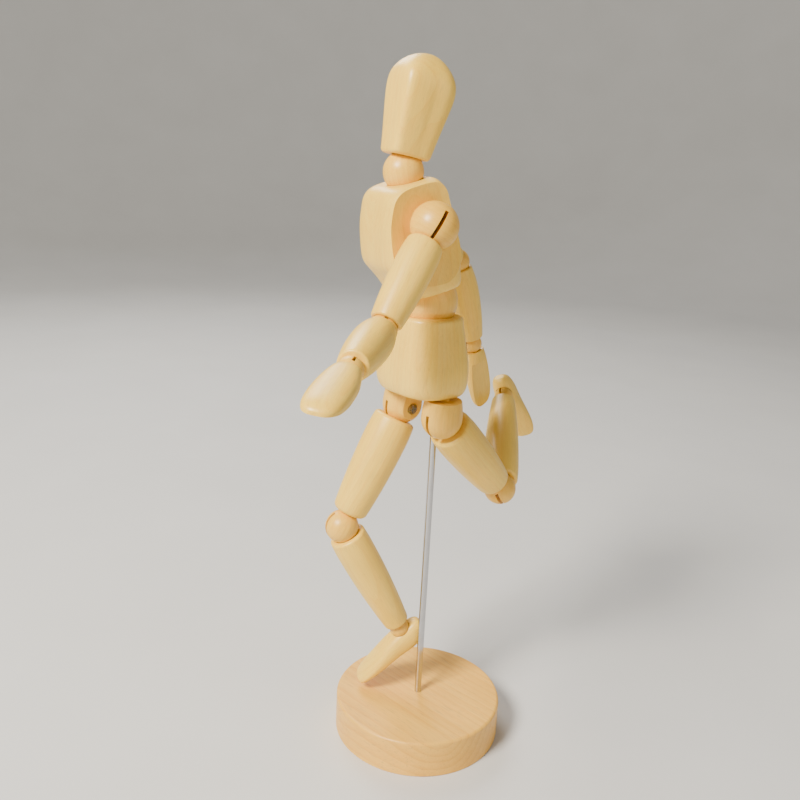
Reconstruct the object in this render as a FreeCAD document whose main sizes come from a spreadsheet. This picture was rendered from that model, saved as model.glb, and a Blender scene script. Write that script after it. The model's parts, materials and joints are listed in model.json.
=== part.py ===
"""Jointed wooden artist mannequin on a steel rod and a round wooden base.

Row frame, millimetres: the origin is the centre of the base's underside, +Z is up, the
pelvis faces -Y and the figure's left side is +X. Every piece is drawn once in its own joint
frame, with the limb running down -Z from the joint's centre, and is then placed by the pose
angles in the sheet.
"""
import FreeCAD, Part
import math
import os

import Sketcher
from FreeCAD import Placement, Rotation, Vector

X_AXIS = Vector(1, 0, 0)
Y_AXIS = Vector(0, 1, 0)
Z_AXIS = Vector(0, 0, 1)
SIDES = {"left": 1, "right": -1}
SECTION_POINTS = 28

SIZES = [
    # stand
    ("base_radius", 37.5), ("base_thickness", 16.6), ("base_edge_round", 1.2),
    ("rod_radius", 1.5), ("rod_in_base", 12.0), ("rod_in_pelvis", 20.0), ("running_gap", 0.05),
    # places of the trunk's joints
    ("trunk_forward", 7.5), ("hip_spread", 12.6), ("hip_height", 154.0), ("waist_height", 200.2),
    ("pelvis_top_drop", 5.6), ("pelvis_bottom_drop", 37.2), ("waist_ball_radius", 12.0),
    ("chest_bottom_rise", 5.6), ("chest_top_rise", 47.6), ("neck_rise", 51.2),
    ("shoulder_spread", 17.6), ("shoulder_rise", 32.0), ("scoop_inner", 12.2),
    ("scoop_outer", 18.3), ("scoop_near", 8.0), ("scoop_far", 32.0), ("neck_radius", 7.8),
    ("head_bottom_rise", 5.4), ("head_top_rise", 42.8), ("mouth_slope", 0.66),
    # joint hardware
    ("seat_gap", 0.2), ("slot_width", 1.5), ("eye_slot_width", 1.0), ("slot_room", 0.3),
    ("slot_rise", 0.6),
    ("link_thickness", 1.1), ("link_half_width", 1.9), ("link_eye_radius", 2.1),
    ("link_reach", 13.0), ("pin_radius", 0.8), ("small_pin_radius", 0.5), ("pin_cover", 1.4),
    ("pin_end_gap", 0.1), ("pin_head_radius", 2.3), ("pin_head_height", 0.6),
    ("bore_radius", 2.4), ("spring_radius", 1.9), ("wire_radius", 0.35), ("wire_hole_radius", 0.6),
    ("coil_wire_radius", 0.5), ("eye_radius", 1.3), ("stop_gap", 1.0),
    # balls
    ("hip_ball_radius", 8.4), ("hip_barrel_height", 18.0), ("hip_block_top", 8.0),
    ("hip_block_inner", 7.0), ("hip_peg_radius", 2.4), ("hip_peg_length", 8.0),
    ("end_peg_radius", 1.5), ("ankle_peg_reach", 8.6), ("wrist_peg_reach", 11.5),
    ("knee_ball_radius", 7.2), ("ankle_ball_radius", 4.6), ("shoulder_ball_radius", 9.2),
    ("elbow_ball_radius", 5.7), ("wrist_ball_radius", 4.5),
    # turned limbs: joint to joint, rim drop, end gap, radii at rim, belly and end
    ("thigh_length", 59.2), ("thigh_rim_drop", 6.6), ("thigh_end_gap", 6.6),
    ("thigh_rim_radius", 8.9), ("thigh_belly_radius", 9.5), ("thigh_belly_drop", 16.0),
    ("thigh_end_radius", 7.3), ("thigh_rim_round", 1.6), ("thigh_end_round", 2.7),
    ("shin_length", 60.7), ("shin_rim_drop", 4.6), ("shin_end_gap", 3.6),
    ("shin_rim_radius", 7.9), ("shin_belly_radius", 8.3), ("shin_belly_drop", 13.0),
    ("shin_end_radius", 5.7), ("shin_rim_round", 1.3), ("shin_end_round", 0.8),
    ("upper_arm_length", 46.0), ("upper_arm_rim_drop", 8.2), ("upper_arm_end_gap", 3.4),
    ("upper_arm_rim_radius", 6.9), ("upper_arm_belly_radius", 7.6), ("upper_arm_belly_drop", 17.0),
    ("upper_arm_end_radius", 6.0), ("upper_arm_rim_round", 1.2), ("upper_arm_end_round", 0.9),
    ("forearm_length", 41.1), ("forearm_rim_drop", 3.0), ("forearm_end_gap", 3.2),
    ("forearm_rim_radius", 6.0), ("forearm_belly_radius", 7.4), ("forearm_belly_drop", 15.0),
    ("forearm_end_radius", 5.4), ("forearm_rim_round", 0.7), ("forearm_end_round", 0.8),
    # hands and feet
    ("hand_length", 33.4), ("hand_half_width", 6.8), ("hand_half_thickness", 3.9),
    ("palm_depth", 2.3), ("palm_slope", 5.0),
    ("foot_toe_reach", 30.5), ("foot_heel_reach", 8.8), ("foot_sole_drop", 12.0),
    ("foot_half_width", 6.6),
    # pose: trunk
    ("chest_turn", -13.0), ("chest_lean", 15.4), ("neck_lean", -13.0), ("head_lean", -14.0),
    # pose: left limbs
    ("left_shoulder_swing", -52.3), ("left_shoulder_raise", 17.4), ("left_shoulder_roll", -18.0),
    ("left_elbow_turn", 72.7), ("left_elbow_bend", 47.4), ("left_wrist_bend", 2.1),
    ("left_wrist_turn", -105.0),
    ("left_hip_splay", -2.6), ("left_hip_turn", 3.3), ("left_hip_swing", 46.0),
    ("left_knee_turn", 37.9), ("left_knee_bend", 80.0), ("left_ankle_bend", -14.5),
    ("left_ankle_turn", -2.6),
    # pose: right limbs
    ("right_shoulder_swing", 47.9), ("right_shoulder_raise", 17.6), ("right_shoulder_roll", 0.0),
    ("right_elbow_turn", -10.5), ("right_elbow_bend", 45.1), ("right_wrist_bend", 0.0),
    ("right_wrist_turn", 0.0),
    ("right_hip_splay", 5.7), ("right_hip_turn", 3.2), ("right_hip_swing", -24.9),
    ("right_knee_turn", 16.0), ("right_knee_bend", 54.3), ("right_ankle_bend", 8.8),
    ("right_ankle_turn", 10.2),
]

doc = FreeCAD.newDocument("Mannequin")
sheet = doc.addObject("Spreadsheet::Sheet", "Sizes")
for row, (alias, value) in enumerate(SIZES, start=1):
    sheet.set(f"A{row}", alias)
    sheet.set(f"B{row}", str(value))
    sheet.setAlias(f"B{row}", alias)
doc.recompute()

pieces = []
frames = {}


def size(alias):
    """The sheet's value for an alias."""
    return float(sheet.get(alias))


def keep(piece, name, frame):
    """Name a finished sub-part, put it in its joint frame and list it for writing."""
    piece.Label = name
    piece.Placement = frame
    pieces.append(piece)
    return piece


def bound(kind, name, **expressions):
    """A Part object whose properties follow the sheet."""
    made = doc.addObject(kind, name)
    for prop, expression in expressions.items():
        made.setExpression(prop.replace("__", "."), expression)
    return made


def joined(kind, name, base, tools):
    """A cut of the tools from a base, or a fuse of them with it."""
    if len(tools) > 1:
        group = doc.addObject("Part::MultiFuse", name + "_tools")
        group.Shapes = tools
        tools = [group]
    made = doc.addObject(kind, name)
    made.Base = base
    made.Tool = tools[0]
    return made


# --------------------------------------------------------------------------- pose frames


def turn(axis, degrees):
    return Placement(Vector(), Rotation(axis, degrees))


def shift(x, y, z):
    return Placement(Vector(x, y, z), Rotation())


def place_trunk():
    """Frames of the base, the pelvis, the waist, the chest, the neck and the head."""
    frames["stand"] = Placement()
    frames["pelvis"] = shift(0, -size("trunk_forward"), size("waist_height"))
    frames["waist"] = frames["pelvis"] * turn(Z_AXIS, size("chest_turn"))
    frames["chest"] = frames["waist"] * turn(X_AXIS, size("chest_lean"))
    neck_base = frames["chest"] * shift(0, 0, size("neck_rise"))
    frames["neck"] = neck_base * turn(X_AXIS, size("neck_lean"))
    frames["head"] = frames["neck"] * turn(X_AXIS, size("head_lean"))


def place_leg(side):
    """Frames of one leg: each ball turns about the limb above it, and the limb below hinges."""
    sign = SIDES[side]
    drop = size("hip_height") - size("waist_height")
    hip = frames["pelvis"] * shift(sign * size("hip_spread"), 0, drop)
    hip = hip * turn(Y_AXIS, -sign * size(f"{side}_hip_splay"))
    frames[f"{side}_hip_socket"] = hip
    frames[f"{side}_hip_ball"] = hip * turn(Z_AXIS, sign * size(f"{side}_hip_turn"))
    thigh = frames[f"{side}_hip_ball"] * turn(X_AXIS, size(f"{side}_hip_swing"))
    frames[f"{side}_thigh"] = thigh
    knee = thigh * shift(0, 0, -size("thigh_length"))
    frames[f"{side}_knee_ball"] = knee * turn(Z_AXIS, sign * size(f"{side}_knee_turn"))
    shin = frames[f"{side}_knee_ball"] * turn(X_AXIS, size(f"{side}_knee_bend"))
    frames[f"{side}_shin"] = shin
    ankle = shin * shift(0, 0, -size("shin_length"))
    frames[f"{side}_ankle_ball"] = ankle * turn(X_AXIS, size(f"{side}_ankle_bend"))
    frames[f"{side}_foot"] = (
        frames[f"{side}_ankle_ball"] * turn(Z_AXIS, sign * size(f"{side}_ankle_turn")))


def place_arm(side):
    """Frames of one arm: the shoulder ball turns on the chest's side, slot rolled to the arm."""
    sign = SIDES[side]
    shoulder = frames["chest"] * shift(sign * size("shoulder_spread"), 0, size("shoulder_rise"))
    swung = shoulder * turn(X_AXIS, size(f"{side}_shoulder_swing"))
    raised = turn(Y_AXIS, -sign * size(f"{side}_shoulder_raise"))
    rolled = turn(Z_AXIS, sign * size(f"{side}_shoulder_roll"))
    upper = swung * raised * rolled
    frames[f"{side}_shoulder"] = swung
    frames[f"{side}_shoulder_ball"] = upper * raised.inverse()
    frames[f"{side}_upper_arm"] = upper
    elbow = upper * shift(0, 0, -size("upper_arm_length"))
    frames[f"{side}_elbow_ball"] = elbow * turn(Z_AXIS, sign * size(f"{side}_elbow_turn"))
    forearm = frames[f"{side}_elbow_ball"] * turn(X_AXIS, -size(f"{side}_elbow_bend"))
    frames[f"{side}_forearm"] = forearm
    wrist = forearm * shift(0, 0, -size("forearm_length"))
    frames[f"{side}_wrist_ball"] = wrist * turn(X_AXIS, size(f"{side}_wrist_bend"))
    frames[f"{side}_hand"] = (
        frames[f"{side}_wrist_ball"] * turn(Z_AXIS, sign * size(f"{side}_wrist_turn")))


place_trunk()
for each_side in SIDES:
    place_leg(each_side)
    place_arm(each_side)


# --------------------------------------------------------------------------- sketch helpers


def origin_plane(body, role):
    return next(f for f in body.Origin.OriginFeatures if f.Role == role)


def bind(sketch, constraint, expression):
    """Add a dimension to a sketch and tie it to the sheet."""
    number = sketch.addConstraint(constraint)
    sketch.setExpression(f"Constraints[{number}]", expression)


def across(sketch, geometry, end, distance, expression):
    """Distance of a point from the axis of turning."""
    bind(sketch, Sketcher.Constraint("DistanceX", -1, 1, geometry, end, distance), expression)


def below(sketch, geometry, end, distance, expression):
    """Distance of a point below the joint's centre."""
    bind(sketch, Sketcher.Constraint("DistanceY", geometry, end, -1, 1, distance), expression)


def revolved_body(name, draw):
    """A body turned about Z from the closed outline that draw() puts in its XZ sketch."""
    body = doc.addObject("PartDesign::Body", name)
    sketch = body.newObject("Sketcher::SketchObject", name + "_outline")
    sketch.AttachmentSupport = [(origin_plane(body, "XZ_Plane"), "")]
    sketch.MapMode = "FlatFace"
    draw(sketch)
    doc.recompute()
    solid = body.newObject("PartDesign::Revolution", name + "_turned")
    solid.Profile = sketch
    solid.ReferenceAxis = (sketch, ["V_Axis"])
    solid.Angle = 360
    doc.recompute()
    return body


def round_rims(body, name, rims):
    """Fillet circular edges, each given as (radius of the circle, height, sheet expression)."""
    for number, (radius, height, expression) in enumerate(rims):
        feature = body.Tip
        edges = []
        for index, edge in enumerate(feature.Shape.Edges, start=1):
            curve = edge.Curve
            if not isinstance(curve, Part.Circle):
                continue
            same_height = abs(curve.Center.z - height) < 1e-3
            if same_height and abs(curve.Radius - radius) < 1e-3:
                edges.append(f"Edge{index}")
        fillet = body.newObject("PartDesign::Fillet", f"{name}_round{number}")
        fillet.Base = (feature, edges)
        fillet.setExpression("Radius", expression)
        doc.recompute()


# --------------------------------------------------------------------------- turned limbs


def turned_limb(name, part, top_ball, end_ball, frame):
    """A limb turned on a lathe: belly between two rims, a ball cup in each end, a bore between.

    The outline runs up the bore, out along the top cup, down the outside in two arcs that
    meet at the belly, and back in along the lower cup.
    """
    length = size(f"{part}_length")
    rim_z = -size(f"{part}_rim_drop")
    end_z = -(length - size(f"{part}_end_gap"))
    belly_z = -size(f"{part}_belly_drop")
    rim_r = size(f"{part}_rim_radius")
    belly_r = size(f"{part}_belly_radius")
    end_r = size(f"{part}_end_radius")
    bore = size("bore_radius")
    top_cup = size(top_ball) + size("seat_gap")
    end_cup = size(end_ball) + size("seat_gap")
    cup_in = math.sqrt(top_cup ** 2 - rim_z ** 2)
    bore_top = -math.sqrt(top_cup ** 2 - bore ** 2)
    lower = size(f"{part}_end_gap")
    seat_in = math.sqrt(end_cup ** 2 - lower ** 2)
    bore_end = -length + math.sqrt(end_cup ** 2 - bore ** 2)

    def belly_arc(start_r, start_z):
        """The arc from a rim to the belly, where its tangent is upright."""
        rise = belly_r - start_r
        run = start_z - belly_z
        radius = (run ** 2 + rise ** 2) / (2 * rise)
        centre = Vector(belly_r - radius, belly_z, 0)
        angle = math.asin(run / radius)
        low, high = sorted((0.0, angle))
        return Part.ArcOfCircle(Part.Circle(centre, Z_AXIS, radius), low, high)

    def cup_arc(centre_z, radius, start, end):
        low = math.atan2(start[1] - centre_z, start[0])
        high = math.atan2(end[1] - centre_z, end[0])
        low, high = sorted((low, high))
        circle = Part.Circle(Vector(0, centre_z, 0), Z_AXIS, radius)
        return Part.ArcOfCircle(circle, low, high)

    def draw(sketch):
        cup = sketch.addGeometry(cup_arc(0, top_cup, (bore, bore_top), (cup_in, rim_z)))
        rim = sketch.addGeometry(Part.LineSegment(Vector(cup_in, rim_z, 0), Vector(rim_r, rim_z, 0)))
        upper = sketch.addGeometry(belly_arc(rim_r, rim_z))
        under = sketch.addGeometry(belly_arc(end_r, end_z))
        end = sketch.addGeometry(Part.LineSegment(Vector(end_r, end_z, 0), Vector(seat_in, end_z, 0)))
        seat = sketch.addGeometry(cup_arc(-length, end_cup, (bore, bore_end), (seat_in, end_z)))
        wall = sketch.addGeometry(
            Part.LineSegment(Vector(bore, bore_end, 0), Vector(bore, bore_top, 0)))
        meets = (
            (cup, 2, rim, 1), (rim, 2, upper, 2), (upper, 1, under, 2), (under, 1, end, 1),
            (end, 2, seat, 1), (seat, 2, wall, 1), (wall, 2, cup, 1))
        for first, first_end, second, second_end in meets:
            sketch.addConstraint(
                Sketcher.Constraint("Coincident", first, first_end, second, second_end))
        s = "Sizes."
        end_drop = f"{s}{part}_length - {s}{part}_end_gap"
        across(sketch, rim, 2, rim_r, f"{s}{part}_rim_radius")
        below(sketch, rim, 2, -rim_z, f"{s}{part}_rim_drop")
        across(sketch, upper, 1, belly_r, f"{s}{part}_belly_radius")
        across(sketch, end, 1, end_r, f"{s}{part}_end_radius")
        below(sketch, end, 1, -end_z, end_drop)
        across(sketch, wall, 1, bore, f"{s}bore_radius")
        for arc in (upper, under):
            below(sketch, arc, 3, -belly_z, f"{s}{part}_belly_drop")
        below(sketch, upper, 1, -belly_z, f"{s}{part}_belly_drop")
        below(sketch, seat, 3, length, f"{s}{part}_length")
        sketch.addConstraint(Sketcher.Constraint("Coincident", cup, 3, -1, 1))
        sketch.addConstraint(Sketcher.Constraint("PointOnObject", seat, 3, -2))
        sketch.addConstraint(Sketcher.Constraint("Horizontal", rim))
        sketch.addConstraint(Sketcher.Constraint("Horizontal", end))
        sketch.addConstraint(Sketcher.Constraint("Vertical", wall))
        bind(sketch, Sketcher.Constraint("Radius", cup, top_cup), f"{s}{top_ball} + {s}seat_gap")
        bind(sketch, Sketcher.Constraint("Radius", seat, end_cup), f"{s}{end_ball} + {s}seat_gap")

    body = revolved_body(name, draw)
    round_rims(body, name, [
        (rim_r, rim_z, f"Sizes.{part}_rim_round"), (end_r, end_z, f"Sizes.{part}_end_round")])
    return keep(body, name, frame)


# --------------------------------------------------------------------------- balls and pins


def slot_and_cross_hole(name, radius, hole, low, high, cross=None, wide="Sizes.slot_width"):
    """The slot a link swings in, between two heights, and the cross hole its pin lies in."""
    slot = bound(
        "Part::Box", name + "_slot", Length=wide, Width=f"2 * {radius} + 2",
        Height=f"({high}) - ({low})")
    slot.setExpression("Placement.Base.x", f"-{wide} / 2")
    slot.setExpression("Placement.Base.y", f"-{radius} - 1")
    slot.setExpression("Placement.Base.z", low)
    start, finish = cross or (f"-{radius} + Sizes.pin_cover", f"{radius} - Sizes.pin_cover")
    bore = bound("Part::Cylinder", name + "_cross_hole", Radius=hole,
                 Height=f"({finish}) - ({start})")
    bore.Placement = turn(Y_AXIS, 90)
    bore.setExpression("Placement.Base.x", start)
    return [slot, bore]


def slotted_ball(name, radius, frame, wire_way=Placement()):
    """A wooden ball slotted from below for a link and drilled to its centre for a wire."""
    ball = bound("Part::Sphere", name + "_sphere", Radius=radius)
    cutters = slot_and_cross_hole(
        name, radius, "Sizes.pin_radius", f"-{radius} - 1", f"Sizes.slot_rise * {radius}")
    wire = bound("Part::Cylinder", name + "_wire_hole", Radius="Sizes.wire_hole_radius",
                 Height=f"{radius} + 1")
    wire.Placement = wire_way
    return keep(joined("Part::Cut", name, ball, [*cutters, wire]), name, frame)


def pegged_ball(name, radius, reach, frame):
    """The ball of a hand or foot: slotted from above, with a peg below that turns in it."""
    ball = bound("Part::Sphere", name + "_sphere", Radius=radius)
    peg = bound("Part::Cylinder", name + "_peg", Radius="Sizes.end_peg_radius", Height=reach)
    peg.setExpression("Placement.Base.z", f"-{reach}")
    whole = joined("Part::Fuse", name + "_whole", ball, [peg])
    cutters = slot_and_cross_hole(
        name, radius, "Sizes.small_pin_radius", "-Sizes.eye_radius - Sizes.slot_room", f"{radius} + 1",
        wide="Sizes.eye_slot_width")
    return keep(joined("Part::Cut", name, whole, cutters), name, frame)


def plain_pin(name, radius, ball_radius, frame):
    """A headless cross pin, shut inside the ball."""
    pin = bound(
        "Part::Cylinder", name, Radius=radius,
        Height=f"2 * ({ball_radius} - Sizes.pin_cover - Sizes.pin_end_gap)")
    half = size(ball_radius.removeprefix("Sizes.")) - size("pin_cover") - size("pin_end_gap")
    return keep(pin, name, frame * turn(Y_AXIS, 90) * shift(0, 0, -half))


def hip_ball(side):
    """A hip block: a ball below, a barrel above that turns in the pelvis, flat on the inside."""
    name = f"{side}_hip_ball"
    sign = SIDES[side]
    sphere = bound("Part::Sphere", name + "_sphere", Radius="Sizes.hip_ball_radius")
    sphere.Angle2 = 0
    barrel = bound(
        "Part::Ellipsoid", name + "_barrel", Radius1="Sizes.hip_barrel_height",
        Radius2="Sizes.hip_ball_radius")
    barrel.Angle1 = 0
    bullet = doc.addObject("Part::Fuse", name + "_bullet")
    bullet.Base = sphere
    bullet.Tool = barrel
    top = bound(
        "Part::Box", name + "_top", Length="4 * Sizes.hip_ball_radius",
        Width="4 * Sizes.hip_ball_radius", Height="Sizes.hip_barrel_height")
    top.setExpression("Placement.Base.x", "-2 * Sizes.hip_ball_radius")
    top.setExpression("Placement.Base.y", "-2 * Sizes.hip_ball_radius")
    top.setExpression("Placement.Base.z", "Sizes.hip_block_top")
    inner = bound(
        "Part::Box", name + "_inner", Length="Sizes.hip_ball_radius",
        Width="4 * Sizes.hip_ball_radius", Height="2 * Sizes.hip_barrel_height")
    inner.setExpression("Placement.Base.y", "-2 * Sizes.hip_ball_radius")
    inner.setExpression("Placement.Base.z", "-Sizes.hip_barrel_height")
    near = "Sizes.hip_block_inner"
    inner.setExpression(
        "Placement.Base.x", f"-{near} - Sizes.hip_ball_radius" if sign > 0 else near)
    inner_end = f"{-sign} * (Sizes.hip_ball_radius + 1)"
    outer_end = f"{sign} * (Sizes.hip_ball_radius - Sizes.pin_cover)"
    cutters = slot_and_cross_hole(
        name, "Sizes.hip_ball_radius", "Sizes.pin_radius", "-Sizes.hip_ball_radius - 1",
        "Sizes.link_eye_radius + Sizes.slot_room", (inner_end, outer_end)[::sign])
    block = joined("Part::Cut", name + "_block", bullet, [top, inner, *cutters])
    peg = bound("Part::Cylinder", name + "_peg", Radius="Sizes.hip_peg_radius",
                Height="Sizes.hip_peg_length + 1")
    peg.setExpression("Placement.Base.z", "Sizes.hip_block_top - 1")
    return keep(joined("Part::Fuse", name, block, [peg]), name, frames[name])


def hip_pin(side):
    """A screw through the hip block, its cross-slotted head on the block's flat inner face."""
    name = f"{side}_hip_pin"
    sign = SIDES[side]
    shank = bound("Part::Cylinder", name + "_shank", Radius="Sizes.pin_radius")
    shank.setExpression(
        "Height", "Sizes.hip_block_inner + Sizes.hip_ball_radius - Sizes.pin_cover"
        " - Sizes.pin_end_gap")
    head = bound(
        "Part::Cylinder", name + "_head", Radius="Sizes.pin_head_radius",
        Height="Sizes.pin_head_height")
    head.setExpression("Placement.Base.z", "-Sizes.pin_head_height")
    whole = joined("Part::Fuse", name + "_screw", shank, [head])
    cutters = []
    for number, degrees in enumerate((0, 90)):
        groove = bound(
            "Part::Box", f"{name}_groove{number}", Length="1.3 * Sizes.pin_head_radius",
            Width="0.25 * Sizes.pin_head_radius", Height="Sizes.pin_head_height")
        length = 1.3 * size("pin_head_radius")
        width = 0.25 * size("pin_head_radius")
        low = -1.5 * size("pin_head_height")
        groove.Placement = turn(Z_AXIS, degrees) * shift(-length / 2, -width / 2, low)
        cutters.append(groove)
    cut = joined("Part::Cut", name, whole, cutters)
    facing = turn(Y_AXIS, 90 * sign)
    inward = shift(-sign * size("hip_block_inner"), 0, 0)
    return keep(cut, name, frames[f"{side}_hip_ball"] * inward * facing)


def link(name, frame):
    """A flat steel link: an eye round the pin and a stem down the limb's bore."""
    eye = bound(
        "Part::Cylinder", name + "_eye", Radius="Sizes.link_eye_radius",
        Height="Sizes.link_thickness")
    eye.Placement = turn(Y_AXIS, 90)
    eye.setExpression("Placement.Base.x", "-Sizes.link_thickness / 2")
    stem = bound(
        "Part::Box", name + "_stem", Length="Sizes.link_thickness",
        Width="2 * Sizes.link_half_width", Height="Sizes.link_reach")
    stem.setExpression("Placement.Base.x", "-Sizes.link_thickness / 2")
    stem.setExpression("Placement.Base.y", "-Sizes.link_half_width")
    stem.setExpression("Placement.Base.z", "-Sizes.link_reach")
    plate = joined("Part::Fuse", name + "_plate", eye, [stem])
    hole = bound(
        "Part::Cylinder", name + "_hole", Radius="Sizes.pin_radius + Sizes.running_gap",
        Height="3 * Sizes.link_thickness")
    hole.Placement = turn(Y_AXIS, 90)
    hole.setExpression("Placement.Base.x", "-1.5 * Sizes.link_thickness")
    return keep(joined("Part::Cut", name, plate, [hole]), name, frame)


# --------------------------------------------------------------------------- springs


def coil_stack(start, direction, length):
    """A close-wound spring, drawn as touching rings: scalloped outside, plain inside."""
    outer = size("spring_radius")
    wire = size("coil_wire_radius")
    inner = outer - 2 * wire
    count = int(length / (2 * wire))
    points = [Vector(inner, 0, 0), Vector(outer - wire, 0, 0)]
    edges = [Part.LineSegment(*points).toShape()]
    for ring in range(count):
        low = Vector(outer - wire, 0, 2 * wire * ring)
        middle = low + Vector(wire, 0, wire)
        high = low + Vector(0, 0, 2 * wire)
        edges.append(Part.Arc(low, middle, high).toShape())
    top = Vector(outer - wire, 0, 2 * wire * count)
    edges.append(Part.LineSegment(top, Vector(inner, 0, top.z)).toShape())
    edges.append(Part.LineSegment(Vector(inner, 0, top.z), points[0]).toShape())
    profile = Part.Face(Part.Wire(edges))
    stack = profile.revolve(Vector(), Z_AXIS, 360)
    stack.Placement = Placement(start, Rotation(Z_AXIS, direction))
    return stack, 2 * wire * count


def wire_tail(start, direction, length):
    """The spring's end: a disc of closed coil and a straight wire along the axis."""
    outer = size("spring_radius")
    wire = size("coil_wire_radius")
    disc = Part.makeCylinder(outer - wire, wire, start, direction)
    tail = Part.makeCylinder(size("wire_radius"), length, start, direction)
    return disc.fuse(tail)


def limb_spring(name, part, ball_radius, frame, eyed=False):
    """The tension spring in a limb's bore, from the link to the ball at the limb's end."""
    top = -size("link_reach")
    length = size(f"{part}_length")
    ball = size(ball_radius.removeprefix("Sizes."))
    below_spring = length - ball - 1.5 * size("stop_gap")
    stack, used = coil_stack(Vector(0, 0, top), Vector(0, 0, -1), below_spring + top)
    coil_end = top - used
    if eyed:
        ring_radius = size("eye_radius") - size("wire_radius")
        reach = coil_end + length - ring_radius
        eye = Part.makeTorus(ring_radius, size("wire_radius"), Vector(0, 0, -length), X_AXIS)
        tail = wire_tail(Vector(0, 0, coil_end), Vector(0, 0, -1), reach).fuse(eye)
    else:
        reach = coil_end + length - size("link_eye_radius") - size("stop_gap")
        tail = wire_tail(Vector(0, 0, coil_end), Vector(0, 0, -1), reach)
    made = doc.addObject("Part::Feature", name)
    made.Shape = stack.fuse(tail).removeSplitter()
    return keep(made, name, frame)


def torso_springs():
    """Three springs in the chest: one down to the waist, one up to the neck, one across."""
    gap = size("stop_gap")
    stop = size("waist_ball_radius") + gap
    rise = size("shoulder_rise")
    clear = size("spring_radius") + size("slot_room")
    spine, used = coil_stack(Vector(0, 0, rise - clear), Vector(0, 0, -1), rise - clear - stop)
    spine_tail = wire_tail(Vector(0, 0, rise - clear - used), Vector(0, 0, -1), stop)
    neck_low = size("neck_rise") - size("neck_radius") - gap
    neck, used = coil_stack(Vector(0, 0, rise + clear), Z_AXIS, neck_low - rise - clear)
    neck_tail = wire_tail(Vector(0, 0, rise + clear + used), Z_AXIS, 5.0)
    half = size("shoulder_spread") - size("shoulder_ball_radius") - gap
    across_chest, used = coil_stack(Vector(-half, 0, rise), X_AXIS, 2 * half)
    reach = size("shoulder_spread") - size("link_eye_radius") - gap
    left_tail = wire_tail(Vector(used - half, 0, rise), X_AXIS, reach - used + half)
    right_tail = wire_tail(Vector(-half, 0, rise), Vector(-1, 0, 0), reach - half)
    made = doc.addObject("Part::Feature", "torso_springs")
    made.Shape = Part.makeCompound([
        spine.fuse(spine_tail).removeSplitter(), neck.fuse(neck_tail).removeSplitter(),
        across_chest.fuse([left_tail, right_tail]).removeSplitter()])
    return keep(made, "torso_springs", frames["chest"])


# --------------------------------------------------------------------------- carved pieces


def section(half_x, front, back, front_power, back_power, z):
    """A closed smooth section: half a superellipse in front and half another behind."""
    points = []
    for step in range(SECTION_POINTS):
        angle = 2 * math.pi * step / SECTION_POINTS
        cosine = math.cos(angle)
        sine = math.sin(angle)
        depth, power = (back, back_power) if sine > 0 else (front, front_power)
        x = half_x * math.copysign(abs(cosine) ** (2 / power), cosine)
        y = depth * math.copysign(abs(sine) ** (2 / power), sine)
        points.append(Vector(x, y, z))
    curve = Part.BSplineCurve()
    curve.interpolate(points, PeriodicFlag=True)
    return Part.Wire(curve.toShape())


def carved(rows):
    """A solid lofted through rows of height, half width, front and back depth, and powers."""
    wires = [section(*row[1:], row[0]) for row in rows]
    return Part.makeLoft(wires, True, False)


def ball_at(place, radius):
    return Part.makeSphere(radius, place)


def pelvis():
    """The hip block's carved body, with its waist cup, hip sockets and rod hole."""
    top = -size("pelvis_top_drop")
    bottom = -size("pelvis_bottom_drop")
    shape = carved([
        (bottom, 15.2, 12.4, 10.4, 2.8, 3.0), (bottom + 0.5, 16.8, 13.9, 11.6, 3.0, 3.0),
        (bottom + 2.6, 18.1, 15.0, 12.4, 3.2, 3.2), (bottom + 7.0, 18.9, 15.5, 12.9, 3.4, 3.2),
        (bottom + 13.0, 18.5, 15.3, 13.1, 3.2, 3.2), (bottom + 19.0, 17.2, 14.8, 12.9, 2.8, 3.0),
        (bottom + 25.0, 15.8, 14.1, 12.7, 2.6, 2.8), (top - 2.4, 15.0, 13.8, 12.6, 2.5, 2.6),
        (top - 0.6, 14.6, 13.4, 12.4, 2.5, 2.6), (top, 13.8, 12.6, 11.8, 2.5, 2.6)])
    cup = ball_at(Vector(), size("waist_ball_radius") + size("seat_gap"))
    rod = Part.makeCylinder(
        size("rod_radius") + size("running_gap"), size("rod_in_pelvis"),
        Vector(0, size("trunk_forward"), bottom), Z_AXIS)
    bore = Part.makeCylinder(size("bore_radius"), 6.0, Vector(0, 0, -17.0), Z_AXIS)
    shape = shape.cut([cup, rod, bore])
    for side in SIDES:
        cutter = Part.makeCylinder(
            size("hip_peg_radius") + size("running_gap"), size("hip_peg_length") + 2 * size("slot_room"),
            Vector(0, 0, size("hip_block_top")), Z_AXIS)
        cutter.Placement = frames["pelvis"].inverse() * frames[f"{side}_hip_socket"]
        shape = shape.cut(cutter)
    made = doc.addObject("Part::Feature", "pelvis")
    made.Shape = shape
    return keep(made, "pelvis", frames["pelvis"])


def shoulder_scoop(sign):
    """The seat of a shoulder ball and the cone that lets the arm swing past the chest."""
    centre = Vector(sign * size("shoulder_spread"), 0, size("shoulder_rise"))
    seat = ball_at(centre, size("shoulder_ball_radius") + size("seat_gap"))
    inner = size("scoop_inner")
    outer = size("scoop_outer")
    near = size("scoop_near")
    far = size("scoop_far")
    cone = Part.makeCone(near, far, outer - inner, Vector(sign * inner, 0, centre.z), X_AXIS * sign)
    rest = Part.makeCylinder(far, 12.0, Vector(sign * outer, 0, centre.z), X_AXIS * sign)
    return [seat, cone, rest]


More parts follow.
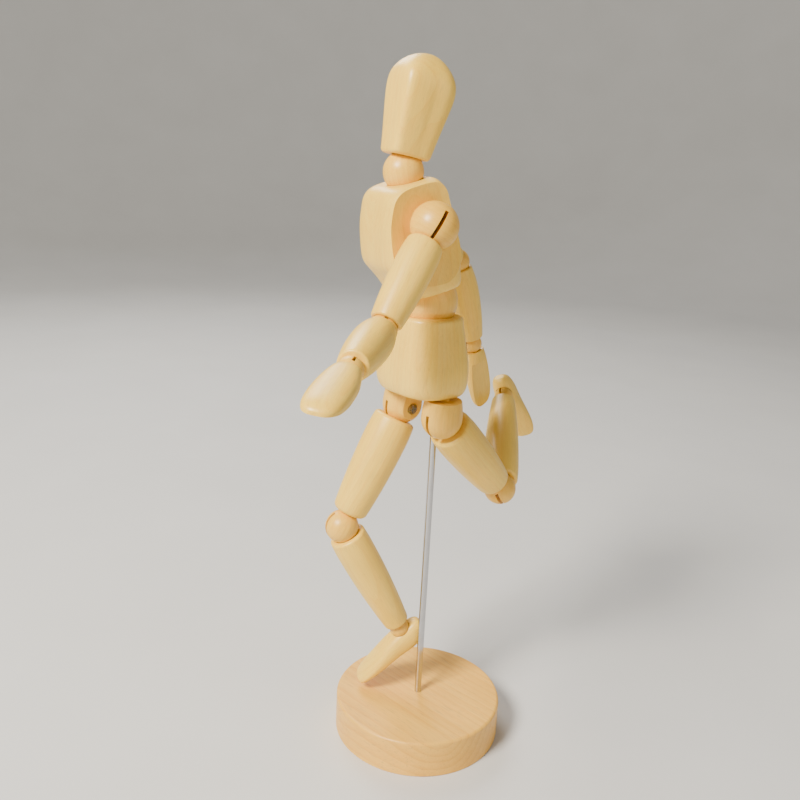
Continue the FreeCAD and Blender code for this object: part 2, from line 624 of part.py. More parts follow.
def chest():
    """The rib cage: waist cup below, neck cup above, a scooped shoulder seat each side."""
    low = size("chest_bottom_rise")
    high = size("chest_top_rise")
    shape = carved([
        (low, 14.2, 13.0, 11.7, 3.0, 3.0), (low + 0.7, 14.8, 13.6, 12.0, 3.0, 3.0),
        (low + 6.4, 16.6, 15.6, 11.8, 3.8, 3.4), (low + 12.6, 18.6, 18.2, 11.8, 5.0, 4.0),
        (low + 15.0, 19.1, 18.8, 12.0, 5.2, 4.0), (low + 20.0, 19.5, 18.4, 12.0, 5.2, 4.0),
        (low + 26.4, 19.7, 17.3, 11.7, 5.0, 4.0), (high - 9.6, 19.2, 15.8, 11.1, 4.6, 4.0),
        (high - 4.6, 18.0, 14.2, 10.6, 4.2, 4.0), (high - 1.6, 15.8, 12.4, 9.6, 3.8, 3.6),
        (high - 0.3, 13.0, 10.2, 8.7, 3.4, 3.4), (high, 11.4, 9.0, 8.0, 3.2, 3.2)])
    waist = ball_at(Vector(), size("waist_ball_radius") + size("seat_gap"))
    neck = ball_at(Vector(0, 0, size("neck_rise")), size("neck_radius") + size("seat_gap"))
    spine = Part.makeCylinder(size("bore_radius"), size("neck_rise"), Vector(), Z_AXIS)
    half = size("shoulder_spread")
    across_bore = Part.makeCylinder(
        size("bore_radius"), 2 * half, Vector(-half, 0, size("shoulder_rise")), X_AXIS)
    shape = shape.cut([waist, neck, spine, across_bore])
    for sign in SIDES.values():
        shape = shape.cut(shoulder_scoop(sign))
    made = doc.addObject("Part::Feature", "chest")
    made.Shape = shape
    return keep(made, "chest", frames["chest"])


def head():
    """A plain egg-shaped head with a flat face and flat sides, hollowed below for the neck."""
    low = size("head_bottom_rise")
    high = size("head_top_rise")
    tall = high - low
    rows = [
        (low, 6.8, 8.2, 6.7, 4.0, 3.6), (low + 0.015 * tall, 7.4, 8.8, 7.3, 5.0, 4.0),
        (low + 0.06 * tall, 7.8, 9.1, 7.8, 5.5, 4.0), (low + 0.3 * tall, 9.1, 9.9, 8.9, 6.0, 4.5),
        (low + 0.55 * tall, 10.4, 10.8, 10.4, 6.5, 4.5),
        (low + 0.68 * tall, 10.8, 11.2, 10.9, 6.0, 4.0),
        (low + 0.79 * tall, 10.2, 11.1, 10.4, 4.6, 3.2),
        (low + 0.88 * tall, 8.4, 9.7, 8.7, 3.2, 2.5),
        (low + 0.95 * tall, 5.6, 6.8, 6.0, 2.5, 2.2),
        (low + 0.99 * tall, 2.7, 3.1, 2.8, 2.0, 2.0), (high, 0.9, 1.0, 1.0, 2.0, 2.0)]
    shape = carved(rows).cut(ball_at(Vector(), size("neck_radius") + size("seat_gap")))
    made = doc.addObject("Part::Feature", "head")
    made.Shape = shape
    return keep(made, "head", frames["head"])


def hand(side):
    """A mitten hand, rounded on its back and cut flat across the palm."""
    name = f"{side}_hand"
    sign = SIDES[side]
    reach = size("hand_length")
    wide = size("hand_half_width")
    thick = size("hand_half_thickness")
    rows = []
    for share, width_share, depth_share in (
        (1.0, 0.18, 0.14), (0.985, 0.46, 0.36), (0.93, 0.74, 0.64), (0.8, 0.94, 0.88),
        (0.55, 1.0, 1.02), (0.3, 0.92, 1.1), (0.15, 0.78, 1.12), (0.1, 0.72, 1.04)):
        half_wide = width_share * wide
        rows.append((-share * reach, depth_share * thick, half_wide, half_wide, 2.4, 2.4))
    shape = carved(rows)
    seat = ball_at(Vector(), size("wrist_ball_radius") + size("seat_gap"))
    palm = Part.makeBox(
        2 * wide, 4 * wide, 0.78 * reach, Vector(size("palm_depth"), -2 * wide, -reach - 1))
    palm.rotate(Vector(size("palm_depth"), 0, -0.3 * reach), Y_AXIS, size("palm_slope"))
    peg = Part.makeCylinder(
        size("end_peg_radius") + size("running_gap"), size("wrist_peg_reach") + size("slot_room"),
        Vector(), -Z_AXIS)
    shape = shape.cut([seat, palm, peg])
    if sign > 0:
        shape = shape.mirror(Vector(), X_AXIS)
    made = doc.addObject("Part::Feature", name)
    made.Shape = shape
    return keep(made, name, frames[name])


def foot(side):
    """A wedge foot with a flat sole, thick under the ankle and thin at the toe."""
    name = f"{side}_foot"
    toe = size("foot_toe_reach")
    heel = size("foot_heel_reach")
    sole = size("foot_sole_drop")
    wide = size("foot_half_width")
    rows = []
    for along, half_share, top, low in (
        (heel, 0.2, -3.4, -6.2), (0.94 * heel, 0.48, -1.9, -8.2), (0.7 * heel, 0.66, -0.9, -10.4),
        (0.2 * heel, 0.8, -0.8, -sole), (-0.2 * toe, 0.88, -1.5, -sole),
        (-0.45 * toe, 0.96, -3.6, -sole), (-0.7 * toe, 1.0, -6.2, -sole),
        (-0.88 * toe, 0.88, -8.0, -11.9), (-0.975 * toe, 0.6, -9.2, -11.6),
        (-toe, 0.24, -9.9, -11.1)):
        rows.append((along, half_share * wide, (top - low) / 2, (top + low) / 2))
    wires = []
    for along, half, half_tall, middle in rows:
        flat = section(half, half_tall, half_tall, 2.6, 2.6, 0)
        upright = Placement(Vector(0, along, middle), Rotation(X_AXIS, 90))
        flat.Placement = upright
        wires.append(flat)
    shape = Part.makeLoft(wires, True, False)
    seat = ball_at(Vector(), size("ankle_ball_radius") + size("seat_gap"))
    made = doc.addObject("Part::Feature", name)
    peg = Part.makeCylinder(
        size("end_peg_radius") + size("running_gap"), size("ankle_peg_reach") + size("slot_room"),
        Vector(), -Z_AXIS)
    made.Shape = shape.cut([seat, peg])
    return keep(made, name, frames[name])


# --------------------------------------------------------------------------- stand and trunk


def base():
    """The round wooden base, drilled from the top for the rod."""
    body = doc.addObject("PartDesign::Body", "base")
    outline = body.newObject("Sketcher::SketchObject", "base_outline")
    outline.AttachmentSupport = [(origin_plane(body, "XY_Plane"), "")]
    outline.MapMode = "FlatFace"
    circle = outline.addGeometry(Part.Circle(Vector(), Z_AXIS, size("base_radius")))
    outline.addConstraint(Sketcher.Constraint("Coincident", circle, 3, -1, 1))
    bind(outline, Sketcher.Constraint("Radius", circle, size("base_radius")), "Sizes.base_radius")
    disc = body.newObject("PartDesign::Pad", "base_disc")
    disc.Profile = outline
    disc.setExpression("Length", "Sizes.base_thickness")
    doc.recompute()
    solid_volume = disc.Shape.Volume
    rod_circle = body.newObject("Sketcher::SketchObject", "rod_hole_outline")
    rod_circle.AttachmentSupport = [(origin_plane(body, "XY_Plane"), "")]
    rod_circle.MapMode = "FlatFace"
    rod_circle.setExpression("AttachmentOffset.Base.z", "Sizes.base_thickness")
    hole = rod_circle.addGeometry(Part.Circle(Vector(), Z_AXIS, size("rod_radius")))
    rod_circle.addConstraint(Sketcher.Constraint("Coincident", hole, 3, -1, 1))
    bind(rod_circle, Sketcher.Constraint("Radius", hole, size("rod_radius")), "Sizes.rod_radius")
    drilled = body.newObject("PartDesign::Pocket", "rod_hole")
    drilled.Profile = rod_circle
    drilled.setExpression("Length", "Sizes.rod_in_base")
    doc.recompute()
    if drilled.Shape.Volume >= solid_volume:
        raise RuntimeError("the rod hole cut nothing from the base")
    round_rims(body, "base", [(size("base_radius"), size("base_thickness"), "Sizes.base_edge_round")])
    lower = [(size("base_radius"), 0.0, "Sizes.base_edge_round / 3")]
    round_rims(body, "base_under", lower)
    return keep(body, "base", frames["stand"])


def rod():
    """The steel rod that carries the figure, pressed into the base."""
    made = bound("Part::Cylinder", "rod", Radius="Sizes.rod_radius")
    made.setExpression(
        "Height", "Sizes.waist_height - Sizes.pelvis_bottom_drop + Sizes.rod_in_pelvis - 0.5"
        " - Sizes.base_thickness + Sizes.rod_in_base")
    foot_level = size("base_thickness") - size("rod_in_base")
    return keep(made, "rod", shift(0, 0, foot_level))


def waist_ball():
    """The ball between the pelvis and the chest, bored for the spine spring's wire."""
    ball = bound("Part::Sphere", "waist_sphere", Radius="Sizes.waist_ball_radius")
    bore = bound(
        "Part::Cylinder", "waist_bore", Radius="Sizes.bore_radius",
        Height="3 * Sizes.waist_ball_radius")
    bore.setExpression("Placement.Base.z", "-1.5 * Sizes.waist_ball_radius")
    mouth = bound("Part::Cone", "waist_mouth", Radius1="0", Height="Sizes.waist_ball_radius",
                  Radius2="Sizes.mouth_slope * Sizes.waist_ball_radius")
    cut = joined("Part::Cut", "waist_ball", ball, [bore, mouth])
    return keep(cut, "waist_ball", frames["waist"])


def neck():
    """The neck: a ball seated in the chest and in the head, bored for the neck spring's wire."""
    ball = bound("Part::Sphere", "neck_sphere", Radius="Sizes.neck_radius")
    bore = bound("Part::Cylinder", "neck_bore", Radius="Sizes.bore_radius",
                 Height="3 * Sizes.neck_radius")
    bore.setExpression("Placement.Base.z", "-1.5 * Sizes.neck_radius")
    mouth = bound("Part::Cone", "neck_mouth", Radius2="0", Height="Sizes.neck_radius",
                  Radius1="Sizes.mouth_slope * Sizes.neck_radius")
    mouth.setExpression("Placement.Base.z", "-Sizes.neck_radius")
    return keep(joined("Part::Cut", "neck", ball, [bore, mouth]), "neck", frames["neck"])


# --------------------------------------------------------------------------- assembly


def leg(side):
    hip_ball(side)
    hip_pin(side)
    link(f"{side}_hip_link", frames[f"{side}_thigh"])
    turned_limb(f"{side}_thigh", "thigh", "hip_ball_radius", "knee_ball_radius",
                frames[f"{side}_thigh"])
    limb_spring(f"{side}_thigh_spring", "thigh", "Sizes.knee_ball_radius", frames[f"{side}_thigh"])
    slotted_ball(f"{side}_knee_ball", "Sizes.knee_ball_radius", frames[f"{side}_knee_ball"])
    plain_pin(f"{side}_knee_pin", "Sizes.pin_radius", "Sizes.knee_ball_radius",
              frames[f"{side}_knee_ball"])
    link(f"{side}_knee_link", frames[f"{side}_shin"])
    turned_limb(f"{side}_shin", "shin", "knee_ball_radius", "ankle_ball_radius",
                frames[f"{side}_shin"])
    limb_spring(f"{side}_shin_spring", "shin", "Sizes.ankle_ball_radius", frames[f"{side}_shin"],
                eyed=True)
    pegged_ball(f"{side}_ankle_ball", "Sizes.ankle_ball_radius", "Sizes.ankle_peg_reach",
                frames[f"{side}_ankle_ball"])
    plain_pin(f"{side}_ankle_pin", "Sizes.small_pin_radius", "Sizes.ankle_ball_radius",
              frames[f"{side}_ankle_ball"])
    foot(side)


def arm(side):
    sideways = turn(Z_AXIS, 90)
    shoulder = frames[f"{side}_shoulder_ball"] * sideways
    inward = frames[f"{side}_shoulder"] * turn(Y_AXIS, -90 * SIDES[side])
    slotted_ball(f"{side}_shoulder_ball", "Sizes.shoulder_ball_radius", shoulder,
                 shoulder.inverse() * inward)
    plain_pin(f"{side}_shoulder_pin", "Sizes.pin_radius", "Sizes.shoulder_ball_radius", shoulder)
    link(f"{side}_shoulder_link", frames[f"{side}_upper_arm"] * sideways)
    turned_limb(f"{side}_upper_arm", "upper_arm", "shoulder_ball_radius", "elbow_ball_radius",
                frames[f"{side}_upper_arm"])
    limb_spring(f"{side}_upper_arm_spring", "upper_arm", "Sizes.elbow_ball_radius",
                frames[f"{side}_upper_arm"])
    slotted_ball(f"{side}_elbow_ball", "Sizes.elbow_ball_radius", frames[f"{side}_elbow_ball"])
    plain_pin(f"{side}_elbow_pin", "Sizes.pin_radius", "Sizes.elbow_ball_radius",
              frames[f"{side}_elbow_ball"])
    link(f"{side}_elbow_link", frames[f"{side}_forearm"])
    turned_limb(f"{side}_forearm", "forearm", "elbow_ball_radius", "wrist_ball_radius",
                frames[f"{side}_forearm"])
    limb_spring(f"{side}_forearm_spring", "forearm", "Sizes.wrist_ball_radius",
                frames[f"{side}_forearm"], eyed=True)
    pegged_ball(f"{side}_wrist_ball", "Sizes.wrist_ball_radius", "Sizes.wrist_peg_reach",
                frames[f"{side}_wrist_ball"])
    plain_pin(f"{side}_wrist_pin", "Sizes.small_pin_radius", "Sizes.wrist_ball_radius",
              frames[f"{side}_wrist_ball"])
    hand(side)


base()
rod()
pelvis()
waist_ball()
chest()
torso_springs()
neck()
head()
for each_side in SIDES:
    leg(each_side)
    arm(each_side)
doc.recompute()

problems = [o.Name for o in doc.Objects if "Invalid" in o.State or "Error" in o.State]
problems += [p.Label for p in pieces if p.Shape.isNull() or not p.Shape.isValid()]
if problems:
    raise RuntimeError("failed objects: " + ", ".join(problems))

os.makedirs("parts", exist_ok=True)
for piece in pieces:
    piece.Shape.exportStep(os.path.join("parts", piece.Label + ".step"))
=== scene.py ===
"""Materials, light, floor and camera for the jointed wooden mannequin.

Every visible piece is a CAD node. This script gives each one its own procedural material:
the grain of a limb runs along that limb's own axis, and the balls, the trunk and the base
have grain directions of their own.
"""
import json
import math

import bpy
from mathutils import Matrix, Vector


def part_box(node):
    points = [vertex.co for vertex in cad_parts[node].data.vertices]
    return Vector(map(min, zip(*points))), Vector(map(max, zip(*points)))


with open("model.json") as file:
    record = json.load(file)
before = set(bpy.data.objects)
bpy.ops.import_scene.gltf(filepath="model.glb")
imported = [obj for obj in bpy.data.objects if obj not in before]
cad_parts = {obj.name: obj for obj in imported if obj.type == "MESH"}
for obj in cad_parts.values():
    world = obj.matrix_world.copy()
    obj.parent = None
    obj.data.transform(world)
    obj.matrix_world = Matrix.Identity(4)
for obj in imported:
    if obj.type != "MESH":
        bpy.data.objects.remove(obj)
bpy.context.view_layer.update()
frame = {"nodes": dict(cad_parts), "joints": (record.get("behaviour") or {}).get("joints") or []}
nodes = frame["nodes"]
joints = {joint["name"]: joint for joint in frame["joints"]}
SIDES = ("left", "right")
DOWN = Vector((0, 0, -1))
UPRIGHT = Vector((0, 0, 1))


def joint_place(name):
    """A joint's centre at rest, in metres."""
    return Vector(joints[name]["pos_m"])


def joint_axis(name):
    """A joint's axis at rest."""
    return Vector(joints[name]["axis"]).normalized()


# ----------------------------------------------------------------------- shader helpers

WANDER_SCALE = 55.0
LATE_WOOD_POWER = 3.0


def along_grain(share):
    """Scale factors that draw a pattern out along the grain, to a share of its pace across."""
    return (1.0, 1.0, share)


class Shader:
    """A material's node tree with short calls for the nodes used here."""

    def __init__(self, name):
        self.material = bpy.data.materials.new(name)
        self.material.use_nodes = True
        self.tree = self.material.node_tree
        self.tree.nodes.clear()
        self.output = self.tree.nodes.new("ShaderNodeOutputMaterial")
        self.surface = self.tree.nodes.new("ShaderNodeBsdfPrincipled")
        self.tree.links.new(self.surface.outputs["BSDF"], self.output.inputs["Surface"])

    def put(self, socket, value):
        """Link an output to a socket, or set the socket to a constant."""
        if isinstance(value, bpy.types.NodeSocket):
            self.tree.links.new(value, socket)
        else:
            socket.default_value = value

    def grain_space(self, axis, centre):
        """Object coordinates turned so that Z runs along the grain from the piece's centre."""
        coordinates = self.tree.nodes.new("ShaderNodeTexCoord")
        shifted = self.tree.nodes.new("ShaderNodeVectorMath")
        shifted.operation = "SUBTRACT"
        self.put(shifted.inputs[0], coordinates.outputs["Object"])
        self.put(shifted.inputs[1], tuple(centre))
        turned = self.tree.nodes.new("ShaderNodeMapping")
        turned.vector_type = "POINT"
        rotation = axis.rotation_difference(UPRIGHT)
        self.put(turned.inputs["Vector"], shifted.outputs["Vector"])
        self.put(turned.inputs["Rotation"], rotation.to_euler("XYZ"))
        return turned.outputs["Vector"]

    def stretched(self, vector, scale):
        """A vector scaled by three factors."""
        scaled = self.tree.nodes.new("ShaderNodeVectorMath")
        scaled.operation = "MULTIPLY"
        self.put(scaled.inputs[0], vector)
        self.put(scaled.inputs[1], scale)
        return scaled.outputs["Vector"]

    def moved(self, vector, offset):
        """A vector with an offset added."""
        added = self.tree.nodes.new("ShaderNodeVectorMath")
        added.operation = "ADD"
        self.put(added.inputs[0], vector)
        self.put(added.inputs[1], offset)
        return added.outputs["Vector"]

    def noise(self, vector, scale, detail, roughness=0.55):
        """Fractal noise between 0 and 1."""
        made = self.tree.nodes.new("ShaderNodeTexNoise")
        self.put(made.inputs["Vector"], vector)
        self.put(made.inputs["Scale"], scale)
        self.put(made.inputs["Detail"], detail)
        self.put(made.inputs["Roughness"], roughness)
        return made.outputs["Fac"]

    def math(self, operation, first, second=0.0, third=0.0):
        """One arithmetic step on up to three values."""
        made = self.tree.nodes.new("ShaderNodeMath")
        made.operation = operation
        self.put(made.inputs[0], first)
        self.put(made.inputs[1], second)
        self.put(made.inputs[2], third)
        return made.outputs["Value"]

    def ranged(self, value, low, high, to_low, to_high):
        """A value carried from one range to another and clamped."""
        made = self.tree.nodes.new("ShaderNodeMapRange")
        self.put(made.inputs["Value"], value)
        self.put(made.inputs["From Min"], low)
        self.put(made.inputs["From Max"], high)
        self.put(made.inputs["To Min"], to_low)
        self.put(made.inputs["To Max"], to_high)
        return made.outputs["Result"]

    def mixed(self, amount, first, second, blend="MIX"):
        """Two colours mixed by an amount."""
        made = self.tree.nodes.new("ShaderNodeMix")
        made.data_type = "RGBA"
        made.blend_type = blend
        self.put(made.inputs["Factor"], amount)
        self.put(made.inputs["A"], first)
        self.put(made.inputs["B"], second)
        return made.outputs["Result"]

    def bump(self, height, strength, distance):
        """Raise the surface's normal by a height, over a distance in metres."""
        made = self.tree.nodes.new("ShaderNodeBump")
        self.put(made.inputs["Height"], height)
        self.put(made.inputs["Strength"], strength)
        self.put(made.inputs["Distance"], distance)
        self.put(self.surface.inputs["Normal"], made.outputs["Normal"])

    def rings(self, vector, spacing, waviness):
        """Growth rings about Z: 0 in early wood rising to 1 in the late wood of each ring."""
        wander = self.noise(self.stretched(vector, along_grain(0.18)), WANDER_SCALE, 2.0)
        split = self.tree.nodes.new("ShaderNodeSeparateXYZ")
        self.put(split.inputs["Vector"], vector)
        x = split.outputs["X"]
        y = split.outputs["Y"]
        squares = self.math("ADD", self.math("MULTIPLY", x, x), self.math("MULTIPLY", y, y))
        radius = self.math("SQRT", squares)
        wavy = self.math("ADD", radius, self.math("MULTIPLY", wander, waviness))
        phase = self.math("FRACT", self.math("DIVIDE", wavy, spacing))
        return self.math("POWER", phase, LATE_WOOD_POWER)


def rgba(red, green, blue):
    """An opaque colour."""
    return (red, green, blue, 1.0)


# ----------------------------------------------------------------------- wood

FIGURE_PALE = rgba(0.95, 0.65, 0.10)
FIGURE_DARK = rgba(0.86, 0.47, 0.035)
BALL_PALE = rgba(0.92, 0.56, 0.075)
BALL_DARK = rgba(0.78, 0.38, 0.025)
BASE_PALE = rgba(0.93, 0.54, 0.09)
BASE_DARK = rgba(0.76, 0.34, 0.03)
HANDLED = rgba(0.50, 0.32, 0.16)
FLECK = rgba(0.47, 0.26, 0.10)

# About how many marks of each pattern fit in a metre across the grain.
FIBRE_SCALE = 2600.0
FLECK_SCALE = 1500.0
STREAK_SCALE = 520.0
BAND_SCALE = 110.0
PATCH_SCALE = 38.0
SMUDGE_SCALE = 16.0

# How far the rings wander and how high the grain stands, in metres.
RING_WAVINESS = 0.0045
GRAIN_HEIGHT = 0.0001

# How much of the dark tone the streaks and bands bring, and what handling does to the wood.
STREAK_SHARE = 0.35
BAND_SHARE = 0.45
SMUDGE_DEPTH = 0.12
SMUDGE_SHINE = -0.4


def wood(name, axis, centre, pith, pale, dark, spacing=0.0021, seed=0.0, gloss=0.36,
         ring_depth=0.2, fleck_depth=0.15):
    """Sanded, lightly waxed wood: rings round an off-centre pith, fibres, flecks and handling."""
    shader = Shader(name)
    space = shader.moved(shader.grain_space(axis, centre), (0.0, 0.0, seed))
    ring = shader.rings(shader.moved(space, (*pith, 0.0)), spacing, RING_WAVINESS)
    fibres = shader.noise(shader.stretched(space, along_grain(0.035)), FIBRE_SCALE, 4.0, 0.6)
    streaks = shader.noise(shader.stretched(space, along_grain(0.05)), STREAK_SCALE, 3.0, 0.5)
    bands = shader.noise(shader.stretched(space, along_grain(0.12)), BAND_SCALE, 2.0, 0.5)
    patches = shader.noise(space, PATCH_SCALE, 2.0, 0.5)
    streak_tone = shader.math("MULTIPLY", streaks, STREAK_SHARE)
    grain = shader.math("MULTIPLY_ADD", ring, ring_depth, streak_tone)
    grain = shader.math("MULTIPLY_ADD", bands, BAND_SHARE, grain)
    base = shader.mixed(shader.ranged(grain, 0.22, 0.85, 0.0, 0.85), pale, dark)
    marks = shader.noise(shader.stretched(space, along_grain(0.13)), FLECK_SCALE, 1.0, 0.4)
    flecks = shader.ranged(marks, 0.62, 0.72, 0.0, fleck_depth)
    base = shader.mixed(flecks, base, FLECK)
    fine = shader.ranged(fibres, 0.35, 0.7, 0.94, 1.04)
    toned = shader.ranged(patches, 0.3, 0.7, 0.95, 1.04)
    shade = shader.math("MULTIPLY", fine, toned)
    colour = shader.tree.nodes.new("ShaderNodeCombineColor")
    for channel in ("Red", "Green", "Blue"):
        shader.put(colour.inputs[channel], shade)
    toned_base = shader.mixed(1.0, base, colour.outputs["Color"], "MULTIPLY")
    smudges = shader.noise(space, SMUDGE_SCALE, 4.0, 0.65)
    handled = shader.ranged(smudges, 0.56, 0.78, 0.0, SMUDGE_DEPTH)
    shader.put(shader.surface.inputs["Base Color"], shader.mixed(handled, toned_base, HANDLED))
    rough = shader.ranged(streaks, 0.25, 0.75, gloss - 0.05, gloss + 0.12)
    rough = shader.math("ADD", rough, shader.math("MULTIPLY", handled, SMUDGE_SHINE))
    shader.put(shader.surface.inputs["Roughness"], rough)
    shader.put(shader.surface.inputs["IOR"], 1.48)
    shader.put(shader.surface.inputs["Subsurface Weight"], 0.05)
    shader.put(shader.surface.inputs["Subsurface Radius"], (0.0015, 0.0008, 0.0004))
    shader.put(shader.surface.inputs["Coat Weight"], 0.15)
    shader.put(shader.surface.inputs["Coat Roughness"], 0.3)
    height = shader.math("MULTIPLY_ADD", fibres, 0.6, shader.math("MULTIPLY", ring, 0.25))
    height = shader.math("MULTIPLY_ADD", flecks, -0.8, height)
    shader.bump(height, 0.3, GRAIN_HEIGHT)
    return shader.material


SCRATCH_SCALE = 6000.0
STAIN_SCALE = 90.0
STAIN_TONE = 0.62
SCRATCH_HEIGHT = 0.00003


def steel(name, axis, centre, tint, rough, scratch):
    """Drawn or bent steel: fine scratches along the axis and faint darker stains."""
    shader = Shader(name)
    space = shader.grain_space(axis, centre)
    lines = shader.noise(shader.stretched(space, along_grain(0.02)), SCRATCH_SCALE, 3.0, 0.6)
    stains = shader.noise(space, STAIN_SCALE, 4.0, 0.65)
    darker = tuple(STAIN_TONE * value for value in tint[:3])
    spots = shader.ranged(stains, 0.5, 0.8, 0.0, 0.55)
    shader.put(shader.surface.inputs["Base Color"], shader.mixed(spots, tint, rgba(*darker)))
    shader.put(shader.surface.inputs["Metallic"], 1.0)
    scored = shader.ranged(lines, 0.3, 0.7, rough, rough + 0.09)
    worn = shader.math("MULTIPLY_ADD", spots, 0.25, scored)
    shader.put(shader.surface.inputs["Roughness"], worn)
    shader.bump(lines, scratch, SCRATCH_HEIGHT)
    return shader.material


def dress(node, material):
    """Put one material on every slot of a CAD node."""
    mesh = nodes[node].data
    if not mesh.materials:
        mesh.materials.append(material)
    for index in range(len(mesh.materials)):
        mesh.materials[index] = material


def middle(node):
    """The centre of a node's box at rest."""
    low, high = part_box(node)
    return (Vector(low) + Vector(high)) / 2


PITH_REACH = 0.011
PITH_TURN = 2.4
PITH_SWING = 0.45
PITH_PACE = 1.7
SEED_STEP = 0.031


def spread(index):
    """A repeatable scatter of the pith about a piece's axis, so no two pieces match."""
    angle = PITH_TURN * index
    reach = PITH_REACH * (1.0 + PITH_SWING * math.sin(PITH_PACE * index))
    return (reach * math.cos(angle), reach * math.sin(angle))


def limb_axes(side):
    """Each wooden piece of one side: its grain axis and the kind of wood it shows."""
    hip = joint_place(f"{side}_hip_swing")
    knee = joint_place(f"{side}_knee_bend")
    ankle = joint_place(f"{side}_ankle_bend")
    shoulder = joint_place(f"{side}_shoulder_raise")
    elbow = joint_place(f"{side}_elbow_bend")
    wrist = joint_place(f"{side}_wrist_bend")
    across_foot = joint_axis(f"{side}_ankle_bend")
    sole_up = joint_axis(f"{side}_ankle_turn")
    return {
        f"{side}_hip_ball": (joint_axis(f"{side}_hip_turn"), "ball"),
        f"{side}_thigh": (knee - hip, "limb"),
        f"{side}_knee_ball": (joint_axis(f"{side}_knee_turn"), "ball"),
        f"{side}_shin": (ankle - knee, "limb"),
        f"{side}_ankle_ball": (sole_up, "ball"),
        f"{side}_foot": (across_foot.cross(sole_up), "limb"),
        f"{side}_shoulder_ball": (joint_axis(f"{side}_shoulder_raise"), "ball"),
        f"{side}_upper_arm": (elbow - shoulder, "limb"),
        f"{side}_elbow_ball": (joint_axis(f"{side}_elbow_turn"), "ball"),
        f"{side}_forearm": (wrist - elbow, "limb"),
        f"{side}_wrist_ball": (joint_axis(f"{side}_wrist_turn"), "ball"),
        f"{side}_hand": (joint_axis(f"{side}_wrist_turn"), "limb"),
    }


trunk = joint_place("neck_nod") - joint_place("waist_bend")
wooden = {
    "pelvis": (UPRIGHT, "limb"),
    "waist_ball": (UPRIGHT, "ball"),
    "chest": (trunk, "limb"),
    "neck": (trunk, "ball"),
    "head": (joint_axis("head_turn"), "limb"),
}
for side in SIDES:
    wooden.update(limb_axes(side))
for index, (node, (axis, kind)) in enumerate(wooden.items(), start=1):
    pale, dark = (BALL_PALE, BALL_DARK) if kind == "ball" else (FIGURE_PALE, FIGURE_DARK)
    made = wood(
        node + "_wood", axis.normalized(), middle(node), spread(index), pale, dark,
        seed=SEED_STEP * index)
    dress(node, made)

BASE_GRAIN = Vector((1.0, 0.12, 0.0)).normalized()
BASE_PITH = (0.012, 0.022)
dress("base", wood(
    "base_wood", BASE_GRAIN, middle("base"), BASE_PITH,
    BASE_PALE, BASE_DARK, spacing=0.0037, gloss=0.42, ring_depth=0.3, fleck_depth=0.35))

# Tint, lowest roughness and strength of the scratches of each kind of steel.
CHROME = (rgba(0.52, 0.52, 0.54), 0.1, 0.08)
STEELS = {
    "_pin": (rgba(0.30, 0.30, 0.31), 0.22, 0.25),
    "_link": (rgba(0.46, 0.45, 0.44), 0.3, 0.4),
    "_spring": (rgba(0.55, 0.55, 0.56), 0.25, 0.2),
    "_springs": (rgba(0.55, 0.55, 0.56), 0.25, 0.2),
}
dress("rod", steel("rod_chrome", UPRIGHT, middle("rod"), *CHROME))
for node in nodes:
    for ending, finish in STEELS.items():
        if node.endswith(ending):
            dress(node, steel(node + "_steel", DOWN, middle(node), *finish))

# ----------------------------------------------------------------------- floor, light, camera

FLOOR_REACH = 1.3
SWEEP_RADIUS = 0.9
WALL_TOP = 1.9
SWEEP_STEPS = 16
ROUND_STEPS = 72
FLOOR_PALE = rgba(0.67, 0.67, 0.665)
FLOOR_TONED = rgba(0.64, 0.64, 0.635)
MOTTLE_SCALE = 9.0


def floor():
    """A plain pale floor that curves up into a plain wall all round."""
    profile = [(0.0, 0.0), (0.25 * FLOOR_REACH, 0.0), (FLOOR_REACH, 0.0)]
    for step in range(1, SWEEP_STEPS + 1):
        angle = 0.5 * math.pi * step / SWEEP_STEPS
        profile.append((
            FLOOR_REACH + SWEEP_RADIUS * math.sin(angle), SWEEP_RADIUS * (1 - math.cos(angle))))
    profile.append((FLOOR_REACH + SWEEP_RADIUS, WALL_TOP))
    points = [(0.0, 0.0, 0.0)]
    faces = []
    for row, (radius, height) in enumerate(profile[1:]):
        start = 1 + row * ROUND_STEPS
        for step in range(ROUND_STEPS):
            angle = 2 * math.pi * step / ROUND_STEPS
            points.append((radius * math.cos(angle), radius * math.sin(angle), height))
            here = start + step
            following = start + (step + 1) % ROUND_STEPS
            if row == 0:
                faces.append((0, here, following))
            else:
                faces.append((here - ROUND_STEPS, here, following, following - ROUND_STEPS))
    mesh = bpy.data.meshes.new("floor")
    mesh.from_pydata(points, [], faces)
    mesh.shade_smooth()
    made = bpy.data.objects.new("floor", mesh)
    bpy.context.scene.collection.objects.link(made)
    shader = Shader("floor_paper")
    coordinates = shader.tree.nodes.new("ShaderNodeTexCoord").outputs["Object"]
    mottle = shader.noise(coordinates, MOTTLE_SCALE, 3.0)
    shader.put(shader.surface.inputs["Base Color"], shader.mixed(
        shader.ranged(mottle, 0.3, 0.7, 0.0, 1.0), FLOOR_TONED, FLOOR_PALE))
    shader.put(shader.surface.inputs["Roughness"], 0.85)
    mesh.materials.append(shader.material)


def area_light(name, place, target, width, power, colour):
    """A round soft light aimed at a point."""
    data = bpy.data.lights.new(name, "AREA")
    data.shape = "DISK"
    data.size = width
    data.energy = power
    data.color = colour
    made = bpy.data.objects.new(name, data)
    direction = Vector(target) - Vector(place)
    made.rotation_euler = direction.to_track_quat("-Z", "Y").to_euler()
    made.location = place
    bpy.context.scene.collection.objects.link(made)


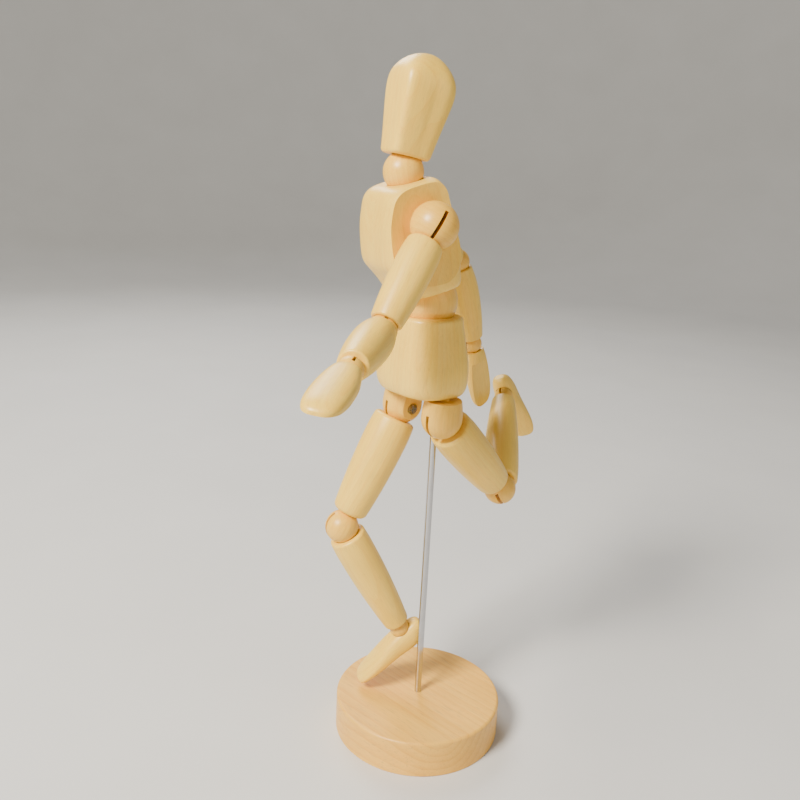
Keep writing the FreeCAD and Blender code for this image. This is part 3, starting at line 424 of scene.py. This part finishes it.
CAMERA_PLACE = (0.2532, -0.2319, 0.2556)
CAMERA_HEADING = math.radians(40.0)
CAMERA_PITCH = math.radians(16.07)
CAMERA_ROLL = math.radians(2.84)
CAMERA_LENS = 38.25
CAMERA_SENSOR = 36.0
CAMERA_NEAR = 0.01


def camera():
    """The camera: its place and aim fit the base's ellipse, the rod and the pose."""
    level = Vector((-math.cos(CAMERA_HEADING), math.sin(CAMERA_HEADING), 0.0))
    forward = math.cos(CAMERA_PITCH) * level - math.sin(CAMERA_PITCH) * UPRIGHT
    up = math.sin(CAMERA_PITCH) * level + math.cos(CAMERA_PITCH) * UPRIGHT
    right = level.cross(UPRIGHT)
    rolled_right = math.cos(CAMERA_ROLL) * right + math.sin(CAMERA_ROLL) * up
    rolled_up = math.cos(CAMERA_ROLL) * up - math.sin(CAMERA_ROLL) * right
    data = bpy.data.cameras.new("camera")
    data.lens = CAMERA_LENS
    data.sensor_width = CAMERA_SENSOR
    data.clip_start = CAMERA_NEAR
    made = bpy.data.objects.new("camera", data)
    turn = Matrix((rolled_right, rolled_up, -forward)).transposed().to_4x4()
    made.matrix_world = Matrix.Translation(Vector(CAMERA_PLACE)) @ turn
    bpy.context.scene.collection.objects.link(made)
    bpy.context.scene.camera = made


# Each light's name, place, width in metres, power in watts and colour.
LIGHTS = (
    ("key", (0.10, -0.95, 0.95), 0.4, 36.0, (1.0, 0.93, 0.81)),
    ("fill", (1.0, 0.35, 0.5), 0.8, 2.0, (1.0, 0.88, 0.72)),
    ("rim", (-0.8, 0.25, 0.9), 0.6, 8.0, (1.0, 0.97, 0.93)),
)
LIT_POINT = (0.0, 0.0, 0.15)
SKY = rgba(0.93, 0.94, 0.95)
SKY_STRENGTH = 0.2

floor()
camera()
for name, place, width, power, colour in LIGHTS:
    area_light(name, place, LIT_POINT, width, power, colour)
world = bpy.data.worlds.new("studio")
world.use_nodes = True
background = world.node_tree.nodes["Background"]
background.inputs["Color"].default_value = SKY
background.inputs["Strength"].default_value = SKY_STRENGTH
bpy.context.scene.world = world
